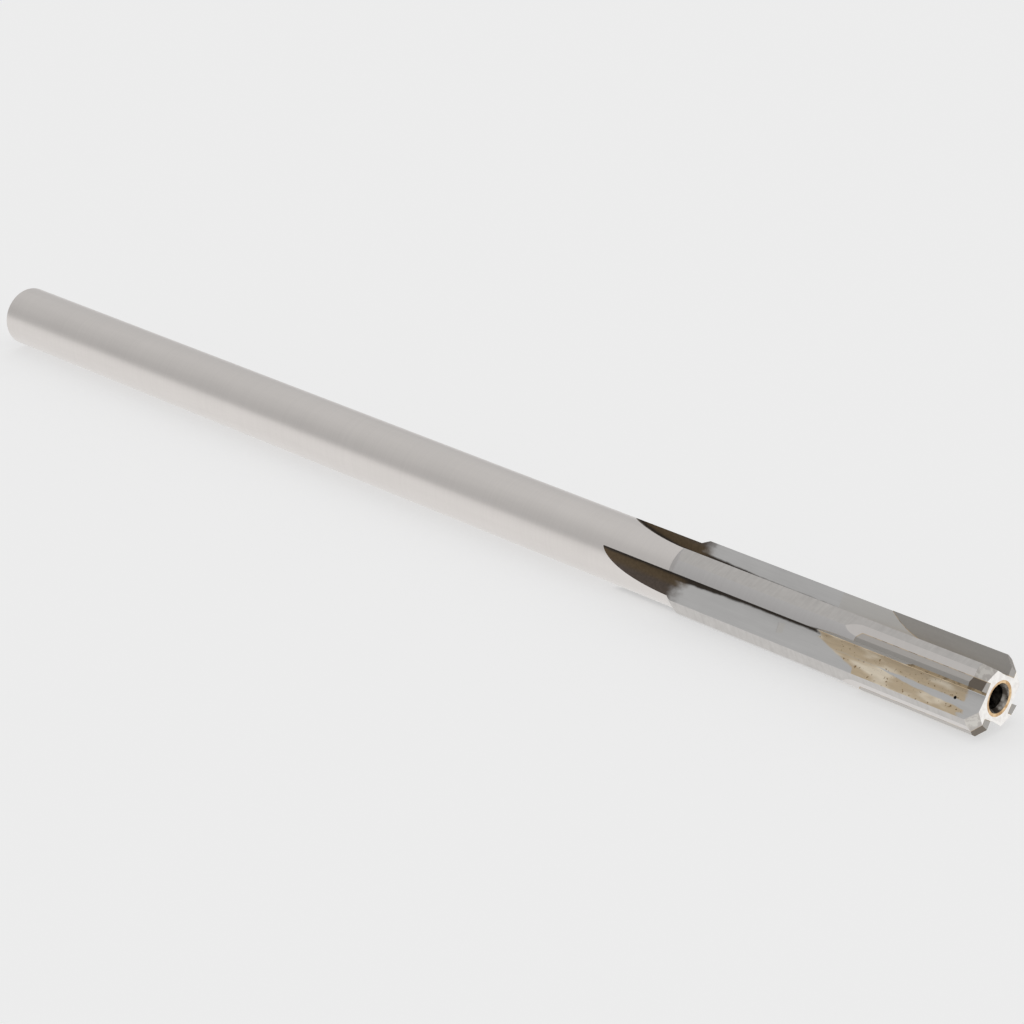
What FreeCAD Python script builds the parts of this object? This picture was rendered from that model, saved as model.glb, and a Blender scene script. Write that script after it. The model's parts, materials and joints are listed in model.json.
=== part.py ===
import FreeCAD, Part
import math
import os

# Carbide-tipped chucking reamer, straight shank, straight flutes, right-hand cut.
# Millimetres. The axis is X with the rear end face at x = 0 and the cutting end
# at x = overall_length. The tool lies as it comes to rest, with +Z up.

# Whole tool
overall_length = 152.4
shank_diameter = 7.092
shank_bevel = 0.1
cutting_diameter = 8.103
flute_count = 4

# Fluted length
flute_length = 38.1           # full flute depth, measured back from the cutting end
shoulder_length = 0.95        # taper from the shank up to the lands
land_undersize = 0.02         # steel lands below the cutting radius
root_height = 2.17            # axis to the bottom corner of a flute
root_radius = 0.06
flute_angle = 85.0            # between the cutting face and the back wall, degrees
flute_cutter_radius = 38.1    # its arc shows where a flute runs out
face_stock = 0.25             # milled steel face ahead of the ground face

# Lands
heel_relief_start = 1.1       # from the ground face
heel_relief_angle = 19.5      # to the tangent where it starts, degrees
margin_width = 0.42           # round margin behind the cutting edge
tip_relief_angle = 18.3       # to the tangent at the back of the margin, degrees
tip_relief_length = 14.5      # full depth, from the cutting end
relief_wheel_radius = 12.0
face_grind_length = 15.9      # full depth, from the cutting end
face_wheel_radius = 42.0

# Cutting end
lead_length = 0.95            # 45 degree cutting lead
lead_angle = 45.0
lead_relief_angle = 14.0      # fall behind the cutting edge, across the tip, degrees
lead_clearance_angle = 36.5   # fall behind the tip, across the steel, degrees

# Carbide tips and the braze that holds them
tip_length = 14.6             # along the cutting edge
tip_thickness = 0.95
tip_floor_rise = 0.1          # bottom of a tip above the bottom corner of the flute
tip_end_radius = 10.5         # rear end of a tip, and of the pocket cutter less the film
braze_film = 0.05

# Centre holes
front_mouth_diameter = 3.56
front_seat_diameter = 2.94
front_guard_angle = 160.0     # shallow cone that guards the seat
front_pilot_diameter = 2.35
front_pilot_depth = 4.6
rear_seat_diameter = 3.0
rear_pilot_diameter = 1.5
rear_pilot_depth = 3.2
seat_angle = 60.0
drill_point_angle = 118.0

# Worked out from the sizes above
shank_radius = shank_diameter / 2
cutting_radius = cutting_diameter / 2
land_radius = cutting_radius - land_undersize
land_pitch = 360.0 / flute_count
flute_start = overall_length - flute_length
tip_bottom_height = root_height + tip_floor_rise
seat_height = tip_bottom_height - braze_film
overrun = 1.5                 # how far tools pass the metal that they cut
reach = cutting_radius + overrun
wall_lean = math.radians(90.0 - flute_angle)

AXIS = FreeCAD.Vector(1, 0, 0)
ORIGIN = FreeCAD.Vector(0, 0, 0)


def section(points, x):
    """Flat face across the tool at x, from (y, z) corners."""
    corners = [FreeCAD.Vector(x, y, z) for y, z in points]
    return Part.Face(Part.makePolygon(corners + corners[:1]))


def turned(points):
    """Solid turned about the axis from an (x, radius) outline."""
    corners = [FreeCAD.Vector(x, 0, r) for x, r in points]
    outline = Part.Face(Part.makePolygon(corners + corners[:1]))
    return outline.revolve(ORIGIN, AXIS, 360)


def wheel_cut(profile, x, touch, outward, radius, height):
    """Straight cut from x past the cutting end, and the arc where its wheel or cutter
    leaves the metal. The wheel touches the work at (y, z) = touch, its centre lies along
    outward, and it clears the metal after rising by height."""
    straight = profile.extrude(AXIS * (overall_length + overrun - x))
    normal = FreeCAD.Vector(0, *outward)
    spindle = normal.cross(AXIS)
    centre = FreeCAD.Vector(x, *touch) + normal * radius
    sweep = math.degrees(math.acos(1 - height / radius))
    return straight.fuse(profile.revolve(centre, spindle, sweep))


def circle_height(radius, y):
    return math.sqrt(radius ** 2 - y ** 2)


def blank():
    """Turned and ground bar: bevel, shank, shoulder, lands."""
    return turned([
        (0, 0),
        (0, shank_radius - shank_bevel),
        (shank_bevel, shank_radius),
        (flute_start - shoulder_length, shank_radius),
        (flute_start, land_radius),
        (overall_length, land_radius),
        (overall_length, 0),
    ])


def cone_length(big_diameter, small_diameter, included_angle):
    return (big_diameter - small_diameter) / 2 / math.tan(math.radians(included_angle / 2))


def front_centre():
    """Centre hole in the cutting end: guard cone, 60 degree seat, drilled pilot."""
    end = overall_length
    guard = end - cone_length(front_mouth_diameter, front_seat_diameter, front_guard_angle)
    seat = guard - cone_length(front_seat_diameter, front_pilot_diameter, seat_angle)
    floor = end - front_pilot_depth
    return turned([
        (end + overrun, 0),
        (end + overrun, front_mouth_diameter / 2),
        (end, front_mouth_diameter / 2),
        (guard, front_seat_diameter / 2),
        (seat, front_pilot_diameter / 2),
        (floor, front_pilot_diameter / 2),
        (floor - cone_length(front_pilot_diameter, 0, drill_point_angle), 0),
    ])


def rear_centre():
    """Centre hole in the shank end: 60 degree seat, drilled pilot."""
    seat = cone_length(rear_seat_diameter, rear_pilot_diameter, seat_angle)
    return turned([
        (-overrun, 0),
        (-overrun, rear_seat_diameter / 2),
        (0, rear_seat_diameter / 2),
        (seat, rear_pilot_diameter / 2),
        (rear_pilot_depth, rear_pilot_diameter / 2),
        (rear_pilot_depth + cone_length(rear_pilot_diameter, 0, drill_point_angle), 0),
    ])


# The tools below are set for one land: its cutting edge points along +Z, its ground face
# is the plane y = 0, the flute ahead of it is at y < 0 and the land behind it at y > 0.

def flute():
    """Flute milled by a disc cutter that lies along the cutting face."""
    face_y = -face_stock
    half_angle = math.radians(flute_angle / 2)
    tangent = root_radius / math.tan(half_angle)
    along_wall = (-math.cos(wall_lean), math.sin(wall_lean))
    on_face = FreeCAD.Vector(flute_start, face_y, root_height + tangent)
    on_wall = FreeCAD.Vector(flute_start, face_y + along_wall[0] * tangent,
                             root_height + along_wall[1] * tangent)
    to_middle = root_radius / math.sin(half_angle) - root_radius
    middle = FreeCAD.Vector(flute_start, face_y - math.sin(half_angle) * to_middle,
                            root_height + math.cos(half_angle) * to_middle)
    wall_end = FreeCAD.Vector(flute_start, -reach,
                              root_height + (reach + face_y) * math.tan(wall_lean))
    outer = FreeCAD.Vector(flute_start, -reach, reach)
    above_face = FreeCAD.Vector(flute_start, face_y, reach)
    edges = [Part.Arc(on_face, middle, on_wall).toShape()]
    for a, b in ((on_wall, wall_end), (wall_end, outer), (outer, above_face),
                 (above_face, on_face)):
        edges.append(Part.LineSegment(a, b).toShape())
    profile = Part.Face(Part.Wire(edges))
    return wheel_cut(profile, flute_start, (face_y, root_height), (0, 1),
                     flute_cutter_radius, reach - root_height)


def flat_on_land(radius, start_y, relief_angle, x):
    """Section of what a relief flat takes off, and the outward direction of the flat."""
    start_z = circle_height(radius, start_y)
    fall = math.asin(start_y / radius) + math.radians(relief_angle)
    along = (math.cos(fall), -math.sin(fall))
    outward = (math.sin(fall), math.cos(fall))
    start = (start_y, start_z)
    end = (start_y + along[0] * reach, start_z + along[1] * reach)
    corners = [start, end]
    corners += [(y + outward[0] * overrun, z + outward[1] * overrun) for y, z in (end, start)]
    return section(corners, x), start, outward


def heel_relief():
    """Flat along the back of the land, over its whole length."""
    x = flute_start - shoulder_length
    profile, _, _ = flat_on_land(land_radius, heel_relief_start, heel_relief_angle, x)
    return profile.extrude(AXIS * (overall_length + overrun - x))


def tip_relief():
    """Flat ground behind the margin, over the tip and the steel behind it."""
    x = overall_length - tip_relief_length
    profile, start, outward = flat_on_land(cutting_radius, margin_width, tip_relief_angle, x)
    return wheel_cut(profile, x, start, outward, relief_wheel_radius, overrun / 2)


def face_grind():
    """What grinding the tip's face takes off the milled steel face."""
    x = overall_length - face_grind_length
    depth = face_stock + overrun / 2
    outer_floor = seat_height + depth * math.tan(wall_lean)
    profile = section([(0, seat_height), (0, reach), (-depth, reach), (-depth, outer_floor)], x)
    return wheel_cut(profile, x, (0, 0), (-1, 0), face_wheel_radius, depth)


def lead():
    """45 degree cutting lead with its relief: the section at the end face, drawn back
    and outward along the lead."""
    edge_z = cutting_radius - lead_length * math.tan(math.radians(lead_angle))
    back_y = tip_thickness + braze_film
    slope = math.tan(math.radians(lead_relief_angle))
    clearance = math.tan(math.radians(lead_clearance_angle))
    back_z = edge_z - back_y * slope
    corners = [
        (-overrun, edge_z + overrun * slope),
        (back_y, back_z),
        (reach, back_z - (reach - back_y) * clearance),
        (reach, reach),
        (-overrun, reach),
    ]
    back = FreeCAD.Vector(-1, 0, math.tan(math.radians(lead_angle)))
    tool = section(corners, overall_length).extrude(back * (lead_length + 2 * overrun))
    tool.translate(back * -overrun)
    return tool


def seat_outline(height, radius, y, thickness):
    """Slab with a flat bottom that runs out at the rear on an arc, open past the end."""
    rise = cutting_radius - tip_bottom_height
    arc_run = math.sqrt(tip_end_radius ** 2 - (tip_end_radius - rise) ** 2)
    arc_start = overall_length - tip_length + arc_run
    centre_z = height + radius
    top = reach
    sweep = math.acos((centre_z - top) / radius)

    def on_arc(angle):
        return FreeCAD.Vector(arc_start - radius * math.sin(angle), y,
                              centre_z - radius * math.cos(angle))

    front_bottom = FreeCAD.Vector(overall_length + overrun, y, height)
    front_top = FreeCAD.Vector(overall_length + overrun, y, top)
    edges = [
        Part.LineSegment(front_bottom, on_arc(0)).toShape(),
        Part.Arc(on_arc(0), on_arc(sweep / 2), on_arc(sweep)).toShape(),
        Part.LineSegment(on_arc(sweep), front_top).toShape(),
        Part.LineSegment(front_top, front_bottom).toShape(),
    ]
    return Part.Face(Part.Wire(edges)).extrude(FreeCAD.Vector(0, thickness, 0))


def raw_tip():
    return seat_outline(tip_bottom_height, tip_end_radius, 0, tip_thickness)


def pocket(start_y):
    depth = tip_thickness + braze_film - start_y
    return seat_outline(seat_height, tip_end_radius + braze_film, start_y, depth)


def round_bar(radius):
    return Part.makeCylinder(radius, overall_length, ORIGIN, AXIS)


def carbide_tip():
    bar = round_bar(cutting_radius)
    return raw_tip().common(bar).cut([tip_relief(), lead()])


def braze_joint():
    film = pocket(0).cut(raw_tip())
    return film.common(round_bar(land_radius)).cut([tip_relief(), lead()])


def rest_angle():
    """Angle about the axis that sets one flute flat on the ground: the steel edge of one
    land and the heel of the next come level below the axis."""
    edge = (circle_height(land_radius, face_stock), face_stock)
    start_z = circle_height(land_radius, heel_relief_start)
    fall = math.tan(math.asin(heel_relief_start / land_radius)
                    + math.radians(heel_relief_angle))
    # The heel is where the relief flat meets the back wall of the flute behind the land.
    rise = math.tan(wall_lean)
    wall_y = root_height - face_stock * rise
    heel_z = (start_z - fall * (wall_y - heel_relief_start)) / (1 + fall * rise)
    heel_y = wall_y + heel_z * rise
    heel_radius = math.hypot(heel_y, heel_z)
    heel_turn = math.radians(land_pitch) - math.atan2(heel_y, heel_z)
    heel = (heel_radius * math.cos(heel_turn), heel_radius * math.sin(heel_turn))
    facing = math.degrees(math.atan2(edge[0] - heel[0], heel[1] - edge[1]))
    return 180.0 - facing - land_pitch * (flute_count // 2)


def at_land(shape, index):
    """Turn a shape made for the land at +Z to its own land."""
    placed = shape.copy()
    placed.rotate(ORIGIN, AXIS, rest_angle() + index * land_pitch)
    return placed


def reamer_body():
    tools = [flute(), heel_relief(), tip_relief(), face_grind(), lead(), pocket(-face_stock)]
    cuts = [at_land(tool, index) for index in range(flute_count) for tool in tools]
    return blank().cut(cuts + [front_centre(), rear_centre()])


def save(shape, name):
    shape.exportStep("parts/" + name + ".step")
    print(name, "volume", round(shape.Volume, 3), "solids", len(shape.Solids),
          "valid", shape.isValid())


os.makedirs("parts", exist_ok=True)
save(reamer_body(), "reamer_body")
for land in range(flute_count):
    save(at_land(carbide_tip(), land), "carbide_tip_" + str(land + 1))
    save(at_land(braze_joint(), land), "braze_joint_" + str(land + 1))
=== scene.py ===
import bpy
import bmesh
import json
from math import acos, asin, cos, pi, radians, sin, sqrt, tan
from mathutils import Matrix, Vector

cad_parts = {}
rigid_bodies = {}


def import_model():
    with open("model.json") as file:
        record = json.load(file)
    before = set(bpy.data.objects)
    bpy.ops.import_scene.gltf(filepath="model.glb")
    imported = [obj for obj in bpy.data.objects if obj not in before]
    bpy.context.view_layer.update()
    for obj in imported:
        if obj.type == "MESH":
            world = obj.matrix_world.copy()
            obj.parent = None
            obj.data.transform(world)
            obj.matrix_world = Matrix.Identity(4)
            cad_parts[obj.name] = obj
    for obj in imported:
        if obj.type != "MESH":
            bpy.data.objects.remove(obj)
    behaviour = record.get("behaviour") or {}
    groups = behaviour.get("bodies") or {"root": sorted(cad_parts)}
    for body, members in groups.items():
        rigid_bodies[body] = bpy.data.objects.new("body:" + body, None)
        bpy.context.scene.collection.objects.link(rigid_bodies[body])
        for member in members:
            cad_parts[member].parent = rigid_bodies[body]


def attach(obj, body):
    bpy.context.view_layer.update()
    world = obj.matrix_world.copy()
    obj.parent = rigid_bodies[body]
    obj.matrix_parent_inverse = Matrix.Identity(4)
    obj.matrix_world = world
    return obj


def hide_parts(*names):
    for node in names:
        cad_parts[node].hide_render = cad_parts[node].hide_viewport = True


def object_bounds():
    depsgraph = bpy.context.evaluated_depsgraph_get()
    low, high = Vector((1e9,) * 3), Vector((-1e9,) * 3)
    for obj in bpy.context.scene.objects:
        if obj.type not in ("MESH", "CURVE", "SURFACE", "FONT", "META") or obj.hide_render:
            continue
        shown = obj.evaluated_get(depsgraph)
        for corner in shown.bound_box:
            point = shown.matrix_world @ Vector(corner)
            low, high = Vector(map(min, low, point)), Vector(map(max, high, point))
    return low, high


for stray in list(bpy.data.objects):
    bpy.data.objects.remove(stray)

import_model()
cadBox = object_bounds()
print("frame loaded")

# Sizes below are in millimetres until a piece is finished.
mm = 0.001
reamer = {"length": 152.4, "shankRadius": 3.546, "bevel": 0.1, "cuttingRadius": 4.0515, "landRadius": 4.0315,
          "fluteStart": 114.3, "shoulder": 0.95, "lands": 4, "turn": -30.9, "overrun": 1.5, "steps": 160}
flute = {"rootHeight": 2.17, "rootRadius": 0.06, "lean": 5.0, "faceStock": 0.25, "cutterRadius": 38.1, "steps": 40}
heel = {"from": 1.1, "angle": 19.5}
margin = {"width": 0.42, "angle": 18.3, "length": 14.5, "wheel": 12.0, "steps": 16}
faceGrind = {"length": 15.9, "wheel": 42.0, "steps": 12}
lead = {"length": 0.95, "angle": 45.0, "relief": 14.0, "clearance": 36.5}
tip = {"length": 14.6, "thickness": 0.95, "rise": 0.1, "endRadius": 10.5, "film": 0.05, "steps": 14}
frontHole = {"mouth": 1.78, "seat": 1.47, "guardAngle": 160.0, "seatAngle": 60.0, "pilot": 1.175, "depth": 4.6}
rearHole = {"seat": 1.5, "seatAngle": 60.0, "pilot": 0.75, "depth": 3.2}
drillAngle = 118.0
reach = reamer["cuttingRadius"] + reamer["overrun"]
xAxis = Vector((1, 0, 0))
landLetters = "ABCD"


# Nodes
studio = {"level": 0.65}


def metalTone(red, green, blue, level=None):
    # reflectance that shows these display values in the studio's light
    level = level or studio["level"]
    return tuple(((part / 255 + 0.055) / 1.055) ** 2.4 / level for part in (red, green, blue)) + (1,)


def plug(tree, socket, value):
    if isinstance(value, bpy.types.NodeSocket):
        tree.links.new(value, socket)
    elif isinstance(value, tuple):
        socket.default_value = value[:len(socket.default_value)]
    else:
        socket.default_value = value


def addNode(tree, kind, values=None, **settings):
    made = tree.nodes.new("ShaderNode" + kind)
    for name, setting in settings.items():
        setattr(made, name, setting)
    for key, value in (values or {}).items():
        plug(tree, made.inputs[key], value)
    return made


def maths(tree, operation, first, second=0.0):
    return addNode(tree, "Math", {0: first, 1: second}, operation=operation).outputs[0]


def fade(tree, value, low, high):
    # 0 at low and 1 at high, or the other way round where low is above high
    made = addNode(tree, "MapRange", {"Value": value, "From Min": low, "From Max": high},
                   interpolation_type="SMOOTHSTEP")
    return made.outputs[0]


def mix(tree, amount, first, second):
    made = addNode(tree, "Mix", {0: amount, 6: first, 7: second}, data_type="RGBA")
    return made.outputs[2]


def grain(tree, place, often, seed=0.0, detail=3.0):
    # noise from 0 to 1, often times a millimetre along each axis
    shift = tuple(7.3 * seed * (axis + 1) for axis in range(3))
    spread = addNode(tree, "VectorMath", {0: place, 1: often, 2: shift}, operation="MULTIPLY_ADD").outputs[0]
    return addNode(tree, "TexNoise", {"Vector": spread, "Scale": 1.0, "Detail": detail}).outputs[0]


def vary(tree, colour, signal, amount):
    # colour times 1, give or take amount, as the signal runs from 0 to 1
    gain = maths(tree, "MULTIPLY", maths(tree, "SUBTRACT", signal, 0.5), 2.0 * amount)
    return addNode(tree, "VectorMath", {0: colour, 3: maths(tree, "ADD", gain, 1.0)}, operation="SCALE").outputs[0]


def along(tree, value, points):
    # straight runs between (value, result) points
    low, high = points[0][0], points[-1][0]
    top = max(result for _, result in points) or 1.0
    ramp = addNode(tree, "ValToRGB", {0: addNode(tree, "MapRange", {"Value": value, "From Min": low,
                                                                    "From Max": high}).outputs[0]})
    elements = ramp.color_ramp.elements
    while len(elements) < len(points):
        elements.new(0.5)
    for element, (at, result) in zip(elements, points):
        element.position = (at - low) / (high - low)
        element.color = (result / top,) * 3 + (1,)
    return maths(tree, "MULTIPLY", ramp.outputs[0], top)


def spot(tree, first, second, at, size):
    # 1 inside an ellipse at (first, second), fading out at its rim
    across = maths(tree, "DIVIDE", maths(tree, "SUBTRACT", first, at[0]), size[0])
    down = maths(tree, "DIVIDE", maths(tree, "SUBTRACT", second, at[1]), size[1])
    away = maths(tree, "ADD", maths(tree, "POWER", maths(tree, "ABSOLUTE", across), 2.0),
                 maths(tree, "POWER", maths(tree, "ABSOLUTE", down), 2.0))
    return fade(tree, away, 1.25, 0.6)


def newFinish(name, roughness=0.3):
    material = bpy.data.materials.new(name)
    material.use_nodes = True
    tree = material.node_tree
    shader = tree.nodes["Principled BSDF"]
    shader.inputs["Metallic"].default_value = 1
    shader.inputs["Roughness"].default_value = roughness
    return material, tree, shader


def landPlace(tree, index):
    # millimetres, turned so that this land's cutting edge points along Z
    coords = addNode(tree, "TexCoord").outputs["Object"]
    turned = addNode(tree, "Mapping", {"Vector": coords, "Scale": (1 / mm,) * 3,
                                       "Rotation": (-landTurn(index), 0, 0)}).outputs[0]
    return turned, *addNode(tree, "SeparateXYZ", {0: turned}).outputs


def landTurn(index):
    return radians(reamer["turn"] + 360 / reamer["lands"] * index)


def bumped(tree, shader, height, depth):
    bump = addNode(tree, "Bump", {"Height": height, "Distance": depth * mm})
    tree.links.new(bump.outputs[0], shader.inputs["Normal"])


# Finishes
def shankFinish():
    look = {"colour": metalTone(180, 176, 173, 0.66), "lines": 0.035, "cloud": 0.03, "depth": 0.002}
    material, tree, shader = newFinish("shankGround", 0.33)
    place, x, y, z = landPlace(tree, 1)
    rings = grain(tree, place, (4.0, 0.05, 0.05), 1, 4)
    streaks = grain(tree, place, (0.05, 1.2, 1.2), 2, 3)
    cloud = grain(tree, place, (0.12, 0.35, 0.35), 3, 2)
    colour = vary(tree, look["colour"], rings, look["lines"])
    colour = vary(tree, colour, streaks, look["cloud"])
    colour = vary(tree, colour, cloud, look["cloud"])
    plug(tree, shader.inputs["Base Color"], colour)
    bumped(tree, shader, grain(tree, place, (9.0, 0.1, 0.1), 4, 3), look["depth"])
    return material


def landFinish():
    look = {"colour": metalTone(160, 158, 157), "lines": 0.06, "depth": 0.002}
    material, tree, shader = newFinish("landGround", 0.3)
    place, x, y, z = landPlace(tree, 1)
    rings = grain(tree, place, (3.0, 0.1, 0.1), 5, 4)
    colour = vary(tree, look["colour"], rings, look["lines"])
    plug(tree, shader.inputs["Base Color"], colour)
    bumped(tree, shader, rings, look["depth"])
    return material


def heelFinish(index):
    look = {"colour": metalTone(176, 173, 170, 0.84), "lines": 0.13, "depth": 0.004}
    material, tree, shader = newFinish("heelFlat" + landLetters[index], 0.32)
    place, x, y, z = landPlace(tree, index)
    lines = grain(tree, place, (3.2, 0.5, 0.5), 6 + index, 3)
    chatter = grain(tree, place, (1.1, 1.6, 1.6), 16 + index, 2)
    colour = vary(tree, look["colour"], lines, look["lines"])
    colour = vary(tree, colour, chatter, 0.08)
    plug(tree, shader.inputs["Base Color"], colour)
    bumped(tree, shader, lines, look["depth"])
    return material


def reliefFinish(index):
    look = {"colour": metalTone(190, 186, 183, 0.84), "lines": 0.04, "depth": 0.001}
    material, tree, shader = newFinish("reliefFlat" + landLetters[index], 0.28)
    place, x, y, z = landPlace(tree, index)
    lines = grain(tree, place, (2.5, 0.6, 0.6), 26 + index, 3)
    plug(tree, shader.inputs["Base Color"], vary(tree, look["colour"], lines, look["lines"]))
    bumped(tree, shader, lines, look["depth"])
    return material


def faceFinish(index):
    look = {"colour": metalTone(165, 163, 160), "lines": 0.05, "depth": 0.001}
    material, tree, shader = newFinish("groundFace" + landLetters[index], 0.3)
    place, x, y, z = landPlace(tree, index)
    lines = grain(tree, place, (0.3, 4.0, 4.0), 36 + index, 3)
    plug(tree, shader.inputs["Base Color"], vary(tree, look["colour"], lines, look["lines"]))
    bumped(tree, shader, lines, look["depth"])
    return material


def fluteFinish(index):
    look = {"steel": metalTone(166, 165, 164), "dark": metalTone(56, 51, 46), "brown": metalTone(82, 70, 55),
            "grey": metalTone(76, 68, 62), "braze": metalTone(172, 157, 134), "pale": metalTone(199, 189, 172),
            "brownSpot": metalTone(120, 98, 70), "lines": 0.06, "depth": 0.002}
    material, tree, shader = newFinish("flute" + landLetters[index], 0.34)
    place, x, y, z = landPlace(tree, index)
    rough = grain(tree, place, (0.9, 1.5, 1.5), 46 + index, 4)
    fine = grain(tree, place, (3.5, 3.5, 3.5), 56 + index, 4)
    lines = grain(tree, place, (0.12, 7.0, 7.0), 66 + index, 3)
    cloud = grain(tree, place, (0.25, 0.8, 0.8), 76 + index, 2)
    wobble = maths(tree, "SUBTRACT", rough, 0.5)
    # distance from the bottom corner, along the back wall or up the milled face
    behind = maths(tree, "MAXIMUM", maths(tree, "SUBTRACT", reamer["fluteStart"], x), 0.0)
    rise = maths(tree, "DIVIDE", maths(tree, "MULTIPLY", behind, behind), 2 * flute["cutterRadius"])
    across = maths(tree, "SUBTRACT", maths(tree, "MULTIPLY", y, -1.0), flute["faceStock"])
    up = maths(tree, "SUBTRACT", maths(tree, "SUBTRACT", z, flute["rootHeight"]), rise)
    fromCorner = maths(tree, "MAXIMUM", across, up)
    ragged = maths(tree, "ADD", fromCorner, maths(tree, "MULTIPLY", wobble, 0.25))
    xRagged = maths(tree, "ADD", x, maths(tree, "MULTIPLY", wobble, 2.2))
    # milled steel
    colour = vary(tree, look["steel"], lines, look["lines"])
    colour = vary(tree, colour, cloud, 0.08)
    # painted shade in the bottom corner, partly brazing scale: a dark band stands for the corner's shadow and the dark
    # face it reflects
    edge = along(tree, x, [(113.0, 0.62), (118.0, 0.45), (122.0, 0.3), (132.5, 0.24)])
    scale = fade(tree, ragged, maths(tree, "ADD", edge, 0.13), maths(tree, "SUBTRACT", edge, 0.1))
    scale = maths(tree, "MULTIPLY", scale, fade(tree, xRagged, 132.3, 131.7))
    colour = mix(tree, scale, colour, vary(tree, look["dark"], fine, 0.3))
    # heat tint on the run-out, with painted shade near the bottom corner
    tint = fade(tree, maths(tree, "ADD", xRagged, maths(tree, "MULTIPLY", across, 0.35)), 116.0, 113.6)
    low = fade(tree, ragged, 0.8, 1.5)
    heatTintAndShade = mix(tree, low, look["brown"], look["grey"])
    # painted shade: the tinted run-out turns darker still close to the bottom corner
    heatTintAndShade = mix(tree, fade(tree, ragged, 0.35, 0.1), heatTintAndShade, look["dark"])
    heatTintAndShade = vary(tree, heatTintAndShade, fine, 0.3)
    colour = mix(tree, tint, colour, heatTintAndShade)
    # film of braze round the tip
    lower = along(tree, x, [(132.0, 0.3), (132.4, 0.55), (135.5, 1.55), (137.5, 2.15), (138.0, 4.0)])
    film = fade(tree, ragged, maths(tree, "ADD", lower, 0.12), maths(tree, "SUBTRACT", lower, 0.12))
    film = maths(tree, "MULTIPLY", film, fade(tree, xRagged, 131.9, 132.4))
    film = maths(tree, "MULTIPLY", film, fade(tree, xRagged, 150.7, 150.2))
    half = along(tree, x, [(140.0, 0.0), (143.5, 0.22), (150.5, 0.36)])
    middle = along(tree, x, [(140.0, 1.18), (145.0, 1.42), (150.5, 1.55)])
    offMiddle = maths(tree, "ABSOLUTE", maths(tree, "SUBTRACT", ragged, middle))
    bare = fade(tree, offMiddle, maths(tree, "ADD", half, 0.06), maths(tree, "SUBTRACT", half, 0.06))
    film = maths(tree, "MULTIPLY", film, maths(tree, "SUBTRACT", 1.0, bare))
    brazed = mix(tree, fade(tree, cloud, 0.45, 0.65), look["braze"], look["pale"])
    brazed = vary(tree, brazed, grain(tree, place, (0.8, 5.0, 5.0), 86 + index, 4), 0.14)
    brazed = mix(tree, fade(tree, fine, 0.62, 0.7), brazed, look["brownSpot"])
    colour = mix(tree, film, colour, brazed)
    # pore in the bare patch, a black spot of painted shade standing for the pit
    poreShade = spot(tree, x, across, (149.4, 1.15), (0.17, 0.17))
    colour = mix(tree, poreShade, colour, (0.01, 0.01, 0.01, 1))
    plug(tree, shader.inputs["Base Color"], colour)
    rougher = maths(tree, "MAXIMUM", scale, maths(tree, "MAXIMUM", tint, film))
    plug(tree, shader.inputs["Roughness"], addNode(tree, "MapRange", {"Value": rougher, "To Min": 0.3,
                                                                     "To Max": 0.45}).outputs[0])
    bumped(tree, shader, maths(tree, "ADD", lines, maths(tree, "MULTIPLY", film, fine)), look["depth"])
    return material


def carbideFinish(index, name, colour, roughness=0.33):
    look = {"speckle": 0.05, "depth": 0.001}
    material, tree, shader = newFinish(name + landLetters[index], roughness)
    place, x, y, z = landPlace(tree, index)
    speckle = grain(tree, place, (4.0, 4.0, 4.0), 96 + index, 3)
    lines = grain(tree, place, (0.3, 5.0, 5.0), 106 + index, 3)
    toned = vary(tree, vary(tree, colour, speckle, look["speckle"]), lines, 0.05)
    plug(tree, shader.inputs["Base Color"], toned)
    bumped(tree, shader, speckle, look["depth"])
    return material


def brazeFinish():
    look = {"colour": metalTone(165, 148, 122), "patch": metalTone(120, 105, 85)}
    material, tree, shader = newFinish("brazeMetal", 0.42)
    place, x, y, z = landPlace(tree, 0)
    patches = grain(tree, place, (1.2, 1.2, 1.2), 116, 4)
    colour = mix(tree, fade(tree, patches, 0.45, 0.6), look["colour"], look["patch"])
    plug(tree, shader.inputs["Base Color"], colour)
    bumped(tree, shader, patches, 0.004)
    return material


def patchyFinish(name, colour, other, roughness, often=(2.0, 2.0, 2.0)):
    material, tree, shader = newFinish(name, roughness)
    place, x, y, z = landPlace(tree, 1)
    patches = grain(tree, place, often, 126, 4)
    toned = mix(tree, fade(tree, patches, 0.38, 0.62), colour, other)
    plug(tree, shader.inputs["Base Color"], toned)
    bumped(tree, shader, patches, 0.003)
    return material


print("finishes ready")


# Shapes
def landTurned(mesh, index):
    mesh.transform(Matrix.Rotation(landTurn(index), 4, "X"))
    return mesh


def toMesh(bm, name, materials):
    bmesh.ops.remove_doubles(bm, verts=bm.verts, dist=0.00001)
    bmesh.ops.recalc_face_normals(bm, faces=bm.faces)
    mesh = bpy.data.meshes.new(name)
    bm.to_mesh(mesh)
    bm.free()
    for material in materials:
        mesh.materials.append(material)
    return mesh


def slab(name, outline, shift, material):
    # flat outline drawn along shift
    bm = bmesh.new()
    face = bm.faces.new([bm.verts.new(corner) for corner in outline])
    made = bmesh.ops.extrude_face_region(bm, geom=[face], use_keep_orig=True)
    moved = [part for part in made["geom"] if isinstance(part, bmesh.types.BMVert)]
    bmesh.ops.translate(bm, verts=moved, vec=shift)
    return toMesh(bm, name, [material])


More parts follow.
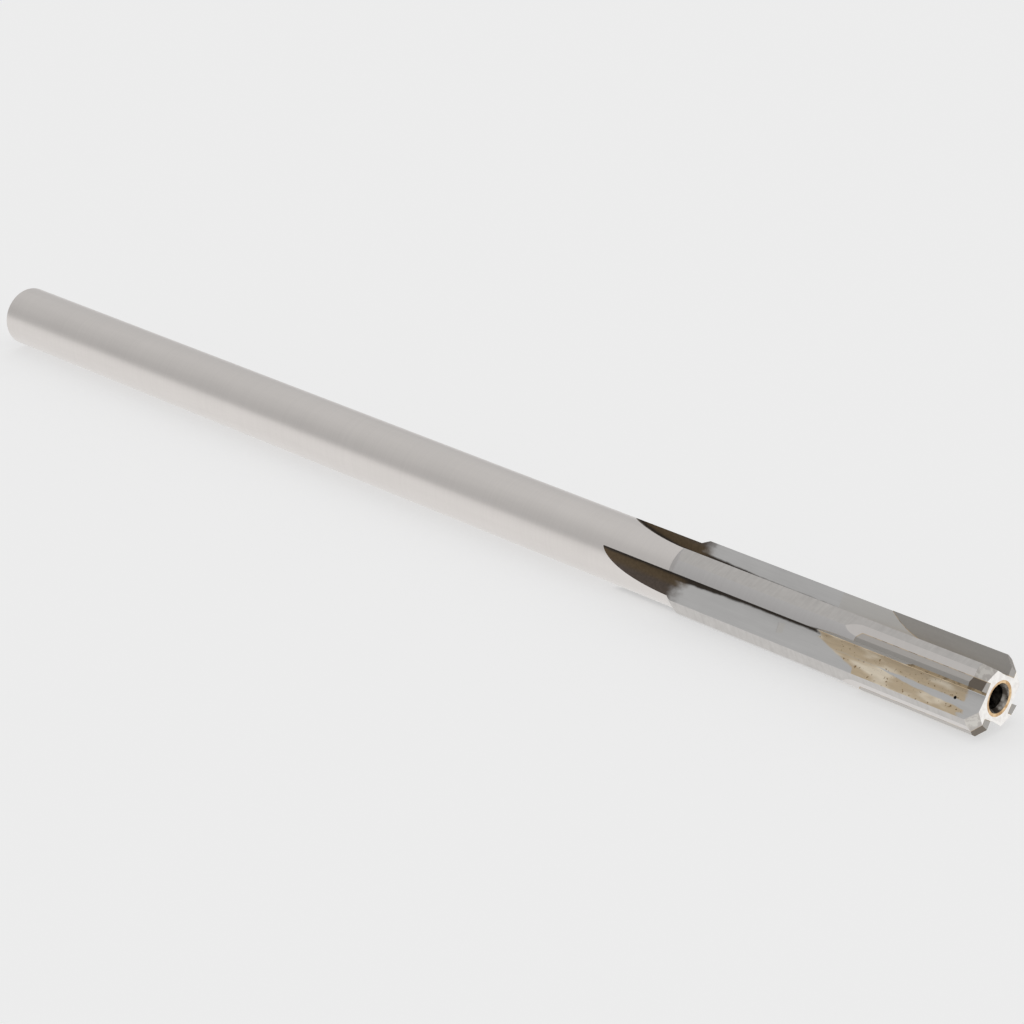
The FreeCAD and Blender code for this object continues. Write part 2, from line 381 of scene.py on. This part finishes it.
def wheelCut(name, outline, start, touch, outward, wheel, height, steps, material):
    # straight cut past the end, and the arc where the wheel leaves the metal
    bm = bmesh.new()
    corners = [bm.verts.new((start, y, z)) for y, z in outline]
    loop = [bm.edges.new(pair) for pair in zip(corners, corners[1:] + corners[:1])]
    made = bmesh.ops.extrude_edge_only(bm, edges=loop)
    moved = [part for part in made["geom"] if isinstance(part, bmesh.types.BMVert)]
    bmesh.ops.translate(bm, verts=moved, vec=(reamer["length"] + reamer["overrun"] - start, 0, 0))
    normal = Vector((0, *outward))
    centre = Vector((start, *touch)) + normal * wheel
    bmesh.ops.spin(bm, geom=corners + loop, cent=centre, axis=normal.cross(xAxis), dvec=(0, 0, 0),
                   angle=acos(1 - height / wheel), steps=steps, use_merge=False, use_duplicate=False)
    bmesh.ops.holes_fill(bm, edges=[edge for edge in bm.edges if edge.is_boundary], sides=0)
    return toMesh(bm, name, [material])


def turnedShape(name, outline, materials, choose=lambda face: 0):
    bm = bmesh.new()
    corners = [bm.verts.new((x, 0, radius)) for x, radius in outline]
    edges = [bm.edges.new(pair) for pair in zip(corners, corners[1:])]
    bmesh.ops.spin(bm, geom=corners + edges, cent=(0, 0, 0), axis=xAxis, dvec=(0, 0, 0), angle=2 * pi,
                   steps=reamer["steps"], use_merge=True, use_duplicate=False)
    bmesh.ops.remove_doubles(bm, verts=bm.verts, dist=0.00001)
    bmesh.ops.recalc_face_normals(bm, faces=bm.faces)
    for face in bm.faces:
        face.material_index = choose(face)
    return toMesh(bm, name, materials)


def circleHeight(radius, y):
    return sqrt(radius ** 2 - y ** 2)


def coneLength(bigRadius, smallRadius, angle):
    return (bigRadius - smallRadius) / tan(radians(angle / 2))


def blank():
    end, overR = reamer["length"], reamer["landRadius"]
    outline = [(0, 0), (0, reamer["shankRadius"] - reamer["bevel"]), (reamer["bevel"], reamer["shankRadius"]),
               (reamer["fluteStart"] - reamer["shoulder"], reamer["shankRadius"]),
               (reamer["fluteStart"], overR), (end, overR), (end, 0)]

    def choose(face):
        middle = face.calc_center_median()
        if middle.x > end - 0.001:
            return 2
        return 1 if middle.x > reamer["fluteStart"] - reamer["shoulder"] + 0.01 else 0
    return turnedShape("blank", outline, [shankMetal, landMetal, endMetal], choose)


def frontCentre():
    end = reamer["length"]
    guard = end - coneLength(frontHole["mouth"], frontHole["seat"], frontHole["guardAngle"])
    seat = guard - coneLength(frontHole["seat"], frontHole["pilot"], frontHole["seatAngle"])
    floor = end - frontHole["depth"]
    outline = [(end + 1, 0), (end + 1, frontHole["mouth"]), (end, frontHole["mouth"]), (guard, frontHole["seat"]),
               (seat, frontHole["pilot"]), (floor, frontHole["pilot"]),
               (floor - coneLength(frontHole["pilot"], 0, drillAngle), 0)]

    def choose(face):
        return 0 if face.calc_center_median().x > guard else 1
    return turnedShape("frontCentre", outline, [ringMetal, boreShadeMetal], choose)


def rearCentre():
    seat = coneLength(rearHole["seat"], rearHole["pilot"], rearHole["seatAngle"])
    outline = [(-1, 0), (-1, rearHole["seat"]), (0, rearHole["seat"]), (seat, rearHole["pilot"]),
               (rearHole["depth"], rearHole["pilot"]),
               (rearHole["depth"] + coneLength(rearHole["pilot"], 0, drillAngle), 0)]
    return turnedShape("rearCentre", outline, [boreShadeMetal])


def fluteTool(material):
    lean = radians(flute["lean"])
    # round bottom corner, from the milled face to the back wall
    radius, turn = flute["rootRadius"], pi / 2 + lean
    centreY = -flute["faceStock"] - radius
    centreZ = flute["rootHeight"] + radius / tan((pi - turn) / 2)
    outline = [(centreY + radius * cos(turn * step / 6), centreZ - radius * sin(turn * step / 6)) for step in range(7)]
    outline += [(-reach, flute["rootHeight"] + (reach - flute["faceStock"]) * tan(lean)),
                (-reach, reach), (-flute["faceStock"], reach)]
    return wheelCut("fluteTool", outline, reamer["fluteStart"], (-flute["faceStock"], flute["rootHeight"]), (0, 1),
                    flute["cutterRadius"], reach - flute["rootHeight"], flute["steps"], material)


def flatOutline(radius, fromY, angle):
    fromZ = circleHeight(radius, fromY)
    fall = asin(fromY / radius) + radians(angle)
    flatWay, outward = (cos(fall), -sin(fall)), (sin(fall), cos(fall))
    start = (fromY, fromZ)
    end = (fromY + flatWay[0] * reach, fromZ + flatWay[1] * reach)
    outline = [start, end] + [(y + outward[0] * reamer["overrun"], z + outward[1] * reamer["overrun"])
                              for y, z in (end, start)]
    return outline, start, outward


def heelTool(material):
    start = reamer["fluteStart"] - reamer["shoulder"]
    outline, _, _ = flatOutline(reamer["landRadius"], heel["from"], heel["angle"])
    return slab("heelTool", [(start, y, z) for y, z in outline],
                (reamer["length"] + reamer["overrun"] - start, 0, 0), material)


def reliefTool(material):
    outline, start, outward = flatOutline(reamer["cuttingRadius"], margin["width"], margin["angle"])
    return wheelCut("reliefTool", outline, reamer["length"] - margin["length"], start, outward, margin["wheel"],
                    reamer["overrun"] / 2, margin["steps"], material)


def faceTool(material):
    bottom = flute["rootHeight"] + tip["rise"] - tip["film"]
    depth = flute["faceStock"] + reamer["overrun"] / 2
    outline = [(0, bottom), (0, reach), (-depth, reach), (-depth, bottom + depth * tan(radians(flute["lean"])))]
    return wheelCut("faceTool", outline, reamer["length"] - faceGrind["length"], (0, 0), (-1, 0),
                    faceGrind["wheel"], depth, faceGrind["steps"], material)


def leadTool(material):
    over = reamer["overrun"]
    climb, slope = tan(radians(lead["angle"])), tan(radians(lead["relief"]))
    clearance = tan(radians(lead["clearance"]))
    edge = reamer["cuttingRadius"] - lead["length"] * climb
    backY = tip["thickness"] + tip["film"]
    backZ = edge - backY * slope
    outline = [(-over, edge + over * slope), (backY, backZ), (reach, backZ - (reach - backY) * clearance),
               (reach, reach), (-over, reach)]
    back = Vector((-1, 0, climb))
    first = Vector((reamer["length"], 0, 0)) - back * over
    return slab("leadTool", [first + Vector((0, y, z)) for y, z in outline], back * (lead["length"] + 2 * over),
                material)


def seatShape(name, height, radius, y, thickness, material):
    # slab with a flat bottom that runs out at the rear on an arc
    rise = reamer["cuttingRadius"] - flute["rootHeight"] - tip["rise"]
    arcRun = sqrt(tip["endRadius"] ** 2 - (tip["endRadius"] - rise) ** 2)
    arcStart = reamer["length"] - tip["length"] + arcRun
    sweep = acos((height + radius - reach) / radius)
    outline = [(reamer["length"] + reamer["overrun"], y, height)]
    for step in range(tip["steps"] + 1):
        angle = sweep * step / tip["steps"]
        outline.append((arcStart - radius * sin(angle), y, height + radius - radius * cos(angle)))
    outline.append((reamer["length"] + reamer["overrun"], y, reach))
    return slab(name, outline, (0, thickness, 0), material)


def rawTip(material):
    return seatShape("rawTip", flute["rootHeight"] + tip["rise"], tip["endRadius"], 0, tip["thickness"], material)


def pocketTool(fromY, material):
    height = flute["rootHeight"] + tip["rise"] - tip["film"]
    return seatShape("pocketTool", height, tip["endRadius"] + tip["film"], fromY,
                     tip["thickness"] + tip["film"] - fromY, material)


def bar(radius, material):
    end = reamer["length"]
    return turnedShape("bar", [(0, 0), (0, radius), (end, radius), (end, 0)], [material])


def carved(mesh, cuts):
    # cuts are (operation, mesh) pairs; a cut surface keeps its tool's finish
    work = bpy.data.objects.new("work", mesh)
    bpy.context.scene.collection.objects.link(work)
    helpers = []
    for operation, tool in cuts:
        helper = bpy.data.objects.new("tool", tool)
        bpy.context.scene.collection.objects.link(helper)
        helpers.append(helper)
        modifier = work.modifiers.new("cut", "BOOLEAN")
        modifier.operation, modifier.object = operation, helper
        modifier.solver, modifier.material_mode = "EXACT", "TRANSFER"
    graph = bpy.context.evaluated_depsgraph_get()
    made = bpy.data.meshes.new_from_object(work.evaluated_get(graph))
    for helper in helpers + [work]:
        bpy.data.objects.remove(helper)
    return made


def finishPiece(name, mesh):
    mesh.name = name
    bm = bmesh.new()
    bm.from_mesh(mesh)
    bmesh.ops.remove_doubles(bm, verts=bm.verts, dist=0.0001)
    bmesh.ops.scale(bm, vec=(mm, mm, mm), verts=bm.verts)
    bm.to_mesh(mesh)
    bm.free()
    mesh.shade_smooth()
    mesh.set_sharp_from_angle(angle=radians(9))
    piece = bpy.data.objects.new(name + "_fine", mesh)
    bpy.context.scene.collection.objects.link(piece)
    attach(piece, "root")
    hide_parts(name)
    print(name, "made,", len(mesh.polygons), "faces")
    return piece


shankMetal, landMetal = shankFinish(), landFinish()
endMetal = patchyFinish("endFace", metalTone(196, 193, 190), metalTone(205, 203, 200), 0.35)
ringMetal = patchyFinish("guardRing", metalTone(190, 165, 130), metalTone(160, 130, 95), 0.35)
# painted shade: the near-black patches in the centre holes stand for the shade inside them, the grey patches are the
# bore's steel
boreShadeMetal = patchyFinish("centreHole", metalTone(60, 55, 50), metalTone(150, 146, 140), 0.4, (1.2, 1.2, 1.2))
pocketMetal = brazeFinish()
leadSteel = patchyFinish("leadSteel", metalTone(150, 146, 142), metalTone(170, 167, 162), 0.3)

cuts = []
for index in range(reamer["lands"]):
    for tool in (fluteTool(fluteFinish(index)), heelTool(heelFinish(index)), reliefTool(reliefFinish(index)),
                 faceTool(faceFinish(index)), leadTool(leadSteel), pocketTool(-flute["faceStock"], pocketMetal)):
        cuts.append(("DIFFERENCE", landTurned(tool, index)))
cuts += [("DIFFERENCE", frontCentre()), ("DIFFERENCE", rearCentre())]
finishPiece("reamer_body", carved(blank(), cuts))

for index in range(reamer["lands"]):
    number = str(index + 1)
    sideMetal = carbideFinish(index, "carbide", metalTone(136, 133, 129))
    flatMetal = carbideFinish(index, "carbideFlat", metalTone(166, 162, 158, 0.84))
    leadMetal = carbideFinish(index, "carbideLead", metalTone(95, 88, 80))
    shape = carved(rawTip(sideMetal), [("INTERSECT", bar(reamer["cuttingRadius"], sideMetal)),
                                       ("DIFFERENCE", reliefTool(flatMetal)), ("DIFFERENCE", leadTool(leadMetal))])
    finishPiece("carbide_tip_" + number, landTurned(shape, index))
    shape = carved(pocketTool(0, pocketMetal), [
        ("DIFFERENCE", rawTip(pocketMetal)), ("INTERSECT", bar(reamer["landRadius"], pocketMetal)),
        ("DIFFERENCE", reliefTool(pocketMetal)), ("DIFFERENCE", leadTool(pocketMetal))])
    finishPiece("braze_joint_" + number, landTurned(shape, index))

# Floor, camera and light
floor = {"size": 6.0, "colour": (0.95, 0.95, 0.95, 1), "glow": 0.5}
camera = {"place": (0.31065, -0.20951, 0.12456), "turn": (67.755, 0.312, 46.694), "lens": 110.14}
sky = {"horizon": 0.602, "rise": 0.238, "behind": 0.042, "back": (-0.6, 0.8, 0.0)}

bpy.ops.mesh.primitive_plane_add(size=floor["size"], location=(0, 0, cadBox[0].z))
ground = bpy.context.object
ground.name = "floor"
ground.data.materials.append(bpy.data.materials.new("floorWhite"))
ground.data.materials[0].use_nodes = True
tree = ground.data.materials[0].node_tree
tree.nodes.clear()
rays = addNode(tree, "LightPath").outputs
seen = maths(tree, "MULTIPLY", rays["Is Camera Ray"], floor["glow"])
mirrored = maths(tree, "MAXIMUM", rays["Is Glossy Ray"], rays["Is Transmission Ray"])
plainFloor = addNode(tree, "BsdfDiffuse", {"Color": floor["colour"]})
whiteFloor = addNode(tree, "Emission", {"Strength": 1.0})
blendFloor = addNode(tree, "MixShader", {0: maths(tree, "MAXIMUM", seen, mirrored), 1: plainFloor.outputs[0],
                                         2: whiteFloor.outputs[0]})
plug(tree, addNode(tree, "OutputMaterial").inputs[0], blendFloor.outputs[0])

lens = bpy.data.cameras.new("camera")
lens.lens = camera["lens"]
lens.clip_start = 0.01
cameraObject = bpy.data.objects.new("camera", lens)
cameraObject.location = camera["place"]
cameraObject.rotation_euler = [radians(angle) for angle in camera["turn"]]
bpy.context.scene.collection.objects.link(cameraObject)
bpy.context.scene.camera = cameraObject

studioWorld = bpy.data.worlds.new("studio")
studioWorld.use_nodes = True
tree = studioWorld.node_tree
direction = addNode(tree, "TexCoord").outputs["Generated"]
height = addNode(tree, "SeparateXYZ", {0: direction}).outputs[2]
backward = addNode(tree, "VectorMath", {0: direction, 1: sky["back"]}, operation="DOT_PRODUCT").outputs["Value"]
level = maths(tree, "ADD", sky["horizon"], maths(tree, "MULTIPLY", maths(tree, "MULTIPLY", height, height),
                                                 sky["rise"]))
level = maths(tree, "ADD", level, maths(tree, "MULTIPLY", backward, sky["behind"]))
rays = addNode(tree, "LightPath").outputs
level = maths(tree, "MAXIMUM", level, rays["Is Camera Ray"])
plug(tree, tree.nodes["Background"].inputs["Color"], (1.0, 1.0, 1.0, 1.0))
plug(tree, tree.nodes["Background"].inputs["Strength"], level)
bpy.context.scene.world = studioWorld
bpy.context.scene.view_settings.view_transform = "Standard"
print("studio ready")
